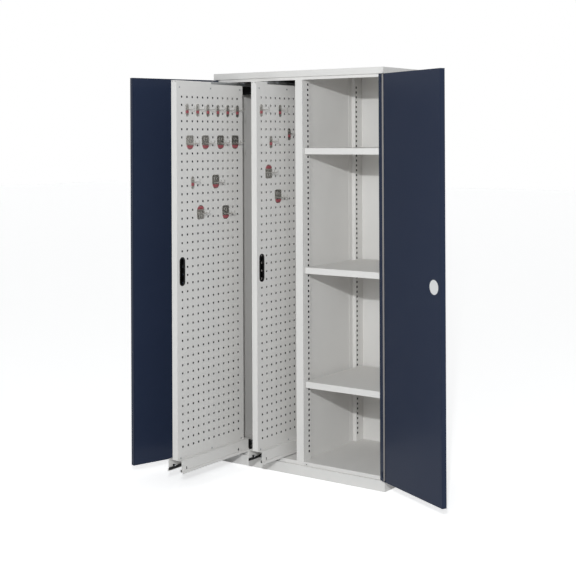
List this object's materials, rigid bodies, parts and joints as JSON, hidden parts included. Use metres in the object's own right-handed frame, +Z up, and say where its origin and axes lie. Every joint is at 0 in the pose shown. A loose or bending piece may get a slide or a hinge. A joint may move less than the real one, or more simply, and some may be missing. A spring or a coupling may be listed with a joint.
{
  "type": "tool cabinet with doors",
  "caption": "Tall steel tool cabinet with swing doors, pull-out perforated panels with tool hooks on one side and adjustable shelves on the other.",
  "frame": {"origin": "on the floor, at the centre of the four anchor holes in the plinth's foot flange", "axes": "+X to the right seen from the front, +Y from the front to the back, +Z up"},
  "size_m": [1.5741, 1.07, 1.95],
  "materials": {
    "cabinet_grey": "satin light grey powder coat",
    "door_navy": "glossy dark blue paint",
    "zinc_steel": "zinc plated",
    "black_steel": "matt black coat",
    "black_plastic": "black moulded",
    "black_rubber": "matt black strip",
    "hook_chrome": "bright nickel plate",
    "label_red": "plain red insert",
    "white_plastic": "white moulded"
  },
  "bodies": {
    "carcass": {"plinth": "cabinet_grey", "top_cap": "cabinet_grey", "floor_pan": "cabinet_grey", "header_rail": "cabinet_grey", "left_side_panel": "cabinet_grey", "right_side_panel": "cabinet_grey", "back_panel": "cabinet_grey", "divider_front_post": "cabinet_grey", "divider_wall": "cabinet_grey", "divider_rear_post": "cabinet_grey", "right_rear_post": "cabinet_grey", "right_front_post": "cabinet_grey", "left_front_post": "cabinet_grey", "lower_shelf": "cabinet_grey", "middle_shelf": "cabinet_grey", "upper_shelf": "cabinet_grey", "shelf_clips": "zinc_steel", "hinge_pins": "zinc_steel", "guide_carriers": "black_steel", "bottom_rails": "black_steel", "top_rails": "zinc_steel"},
    "left_door": {"left_door_skin": "door_navy", "left_door_liner": "door_navy", "left_hinge_stile": "door_navy", "left_hinge_bushes": "black_plastic"},
    "right_door": {"right_door_skin": "door_navy", "right_door_liner": "door_navy", "right_hinge_stile": "door_navy", "right_hinge_bushes": "black_plastic", "lock_case": "zinc_steel", "lock_inner_cover": "white_plastic"},
    "door_handle": {"lock_handle": "black_plastic", "lock_cylinder": "hook_chrome"},
    "upper_rod": {"upper_lock_rod": "zinc_steel"},
    "lower_rod": {"lower_lock_rod": "zinc_steel"},
    "panel_1": {"panel_1_frame": "cabinet_grey", "panel_1_right_sheet": "cabinet_grey", "panel_1_left_sheet": "cabinet_grey", "panel_1_grip_trims": "black_plastic", "panel_1_edge_strip": "black_rubber", "panel_1_carriage": "cabinet_grey", "panel_1_screws": "zinc_steel", "panel_1_inner_slides": "black_steel", "panel_1_top_guide": "cabinet_grey", "panel_1_hooks": "hook_chrome", "panel_1_hook_labels": "label_red"},
    "panel_1_middle": {"panel_1_middle_slides": "zinc_steel"},
    "panel_2": {"panel_2_frame": "cabinet_grey", "panel_2_right_sheet": "cabinet_grey", "panel_2_left_sheet": "cabinet_grey", "panel_2_grip_trims": "black_plastic", "panel_2_edge_strip": "black_rubber", "panel_2_carriage": "cabinet_grey", "panel_2_screws": "zinc_steel", "panel_2_inner_slides": "black_steel", "panel_2_top_guide": "cabinet_grey", "panel_2_hooks": "hook_chrome", "panel_2_hook_labels": "label_red"},
    "panel_2_middle": {"panel_2_middle_slides": "zinc_steel"}
  },
  "joints": [
    {"name": "left_door_swing", "type": "hinge", "parent": "carcass", "child": "left_door", "pos_m": [-0.487, -0.287, 0.98], "axis": [0, 0, 1], "range_deg": [-45, 25]},
    {"name": "right_door_swing", "type": "hinge", "parent": "carcass", "child": "right_door", "pos_m": [0.487, -0.287, 0.98], "axis": [0, 0, 1], "range_deg": [-153.5, 10]},
    {"name": "handle_turn", "type": "hinge", "parent": "right_door", "child": "door_handle", "pos_m": [0.87272, -0.47931, 0.984], "axis": [0.4462, 0.8949, 0], "range_deg": [0, 90]},
    {"name": "upper_rod_lift", "type": "slide", "parent": "right_door", "child": "upper_rod", "axis": [0, 0, 1], "range_m": [0, 0.0142]},
    {"name": "lower_rod_drop", "type": "slide", "parent": "right_door", "child": "lower_rod", "axis": [0, 0, -1], "range_m": [0, 0.0142]},
    {"name": "panel_1_pull", "type": "slide", "parent": "carcass", "child": "panel_1", "axis": [0, 1, 0], "range_m": [0, 0.508]},
    {"name": "panel_1_middle_travel", "type": "slide", "parent": "carcass", "child": "panel_1_middle", "axis": [0, 1, 0], "range_m": [0, 0.2542]},
    {"name": "panel_2_pull", "type": "slide", "parent": "carcass", "child": "panel_2", "axis": [0, 1, 0], "range_m": [-0.3363, 0.1717]},
    {"name": "panel_2_middle_travel", "type": "slide", "parent": "carcass", "child": "panel_2_middle", "axis": [0, 1, 0], "range_m": [-0.1683, 0.086]}
  ],
  "couplings": [
    {"joint": "upper_rod_lift", "follows": "handle_turn", "m_per_rad": 0.008913},
    {"joint": "lower_rod_drop", "follows": "handle_turn", "m_per_rad": 0.008913},
    {"joint": "panel_1_middle_travel", "follows": "panel_1_pull", "ratio": 0.5},
    {"joint": "panel_2_middle_travel", "follows": "panel_2_pull", "ratio": 0.5}
  ]
}
